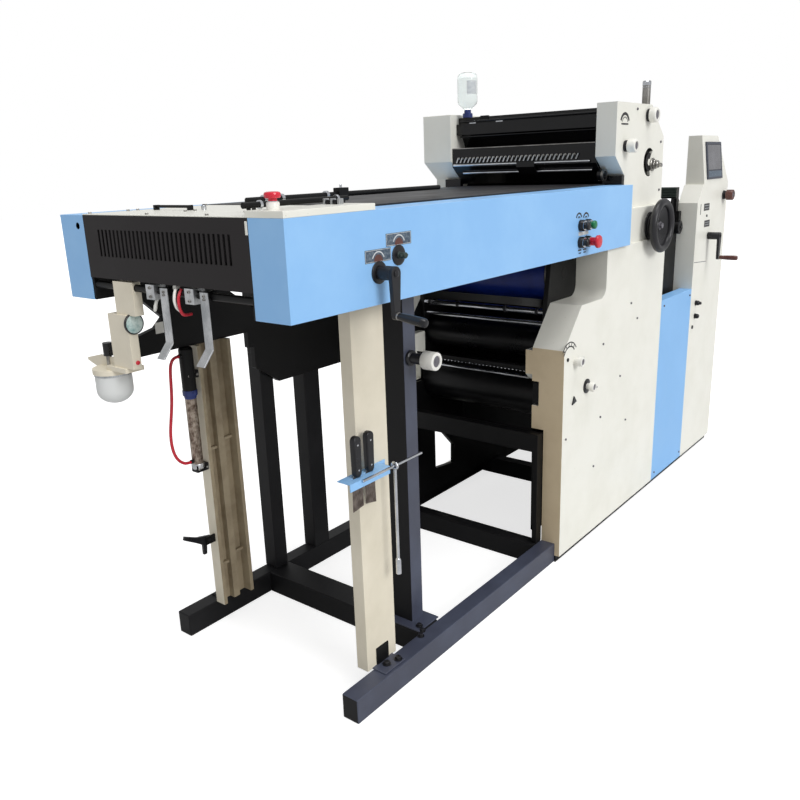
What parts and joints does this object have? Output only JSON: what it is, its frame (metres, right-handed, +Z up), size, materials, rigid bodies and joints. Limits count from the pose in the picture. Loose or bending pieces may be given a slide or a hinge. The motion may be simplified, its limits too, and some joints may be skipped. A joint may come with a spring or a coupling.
{
  "type": "small sheet-fed offset printing press",
  "caption": "Sheet-fed offset printing press with a long blue chain delivery on a steel floor frame, cream side frames, ink head, handwheel, cranks and a feeder column with a screen.",
  "frame": {"origin": "centre of the underside of the front floor beam, on the floor", "axes": "+X along the machine towards the feeder, +Y away from the operator side, +Z up"},
  "size_m": [3.219, 1.1293, 1.919],
  "materials": {
    "frame_paint": "semi-gloss slate blue paint",
    "black_paint": "satin black paint",
    "blue_paint": "semi-gloss sky blue paint",
    "cream_paint": "semi-gloss cream paint",
    "white_paint": "semi-gloss off-white paint",
    "aluminium_bar": "drawn aluminium",
    "steel": "bright ground steel",
    "chrome": "polished chrome",
    "clear_plastic": "translucent plastic",
    "hose_plastic": "smooth red tubing",
    "red_plastic": "glossy red plastic",
    "black_plastic": "moulded black plastic",
    "white_plastic": "moulded white plastic",
    "brown_plastic": "dark brown moulded plastic",
    "roller_rubber": "smooth black rubber",
    "blanket_rubber": "smooth dark blue rubber blanket",
    "screen": "glossy dark touch screen in a grey bezel"
  },
  "bodies": {
    "root": {"floor_frame": "frame_paint", "frame_posts": "frame_paint", "near_chain_guard": "cream_paint", "far_chain_guard": "cream_paint", "track_plates": "black_paint", "delivery_covers": "blue_paint", "delivery_end_panel": "black_paint", "delivery_top_cover": "black_paint", "delivery_lids": "cream_paint", "push_buttons": "red_plastic", "delivery_bars": "black_paint", "sheet_stops": "aluminium_bar", "powder_bracket": "cream_paint", "powder_bowl": "clear_plastic", "air_cylinder": "aluminium_bar", "air_hose": "hose_plastic", "control_bosses": "white_paint", "tool_rack": "blue_paint", "hanging_tools": "steel", "near_side_frame": "white_paint", "far_side_frame": "white_paint", "inner_frames": "black_paint", "near_gear_cover": "white_paint", "far_drive_cover": "white_paint", "near_head_wall": "white_paint", "far_head_wall": "white_paint", "ink_guard": "black_paint", "ink_tray": "black_paint", "head_rollers": "roller_rubber", "water_bottle": "clear_plastic", "lower_rollers": "roller_rubber", "lower_bars": "chrome", "near_feeder_column": "white_paint", "far_feeder_column": "white_paint", "control_screen": "screen", "feeder_table": "steel", "feed_board": "steel", "strip_covers": "blue_paint"},
    "release_lever": {"release_lever": "black_plastic"},
    "delivery_crank": {"delivery_crank": "black_plastic"},
    "handwheel": {"handwheel": "black_plastic"},
    "upper_knob": {"upper_knob": "white_plastic"},
    "lower_knob": {"lower_knob": "white_plastic"},
    "post_knob": {"post_knob": "black_plastic"},
    "lower_cylinder": {"lower_cylinder": "blanket_rubber"},
    "feeder_knob": {"feeder_knob": "brown_plastic"},
    "feeder_crank": {"feeder_crank": "brown_plastic"}
  },
  "joints": [
    {"name": "cylinder_turn", "type": "hinge", "parent": "root", "child": "lower_cylinder", "pos_m": [1.01, 0, 1.115], "axis": [0, 1, 0], "continuous": true},
    {"name": "handwheel_turn", "type": "hinge", "parent": "root", "child": "handwheel", "pos_m": [1.548, -0.425, 1.258], "axis": [0, 1, 0], "continuous": true},
    {"name": "delivery_crank_turn", "type": "hinge", "parent": "root", "child": "delivery_crank", "pos_m": [-0.303, -0.456, 1.283], "axis": [0, 1, 0], "continuous": true},
    {"name": "feeder_crank_turn", "type": "hinge", "parent": "root", "child": "feeder_crank", "pos_m": [2.3, -0.436, 1.151], "axis": [0, 1, 0], "continuous": true},
    {"name": "upper_knob_turn", "type": "hinge", "parent": "root", "child": "upper_knob", "pos_m": [1.536, -0.398, 1.704], "axis": [0, 1, 0], "continuous": true},
    {"name": "lower_knob_turn", "type": "hinge", "parent": "root", "child": "lower_knob", "pos_m": [1.315, -0.398, 1.583], "axis": [0, 1, 0], "continuous": true},
    {"name": "post_knob_turn", "type": "hinge", "parent": "root", "child": "post_knob", "pos_m": [0.015, -0.298, 0.979], "axis": [0, 1, 0], "continuous": true},
    {"name": "feeder_knob_turn", "type": "hinge", "parent": "root", "child": "feeder_knob", "pos_m": [2.5, -0.436, 1.34], "axis": [0, 1, 0], "continuous": true},
    {"name": "release_lever_swing", "type": "hinge", "parent": "root", "child": "release_lever", "pos_m": [-0.33, 0.324, 0.338], "axis": [0, 1, 0], "range_deg": [-20, 30]}
  ],
  "couplings": [
    {"joint": "handwheel_turn", "follows": "cylinder_turn", "ratio": -1}
  ]
}
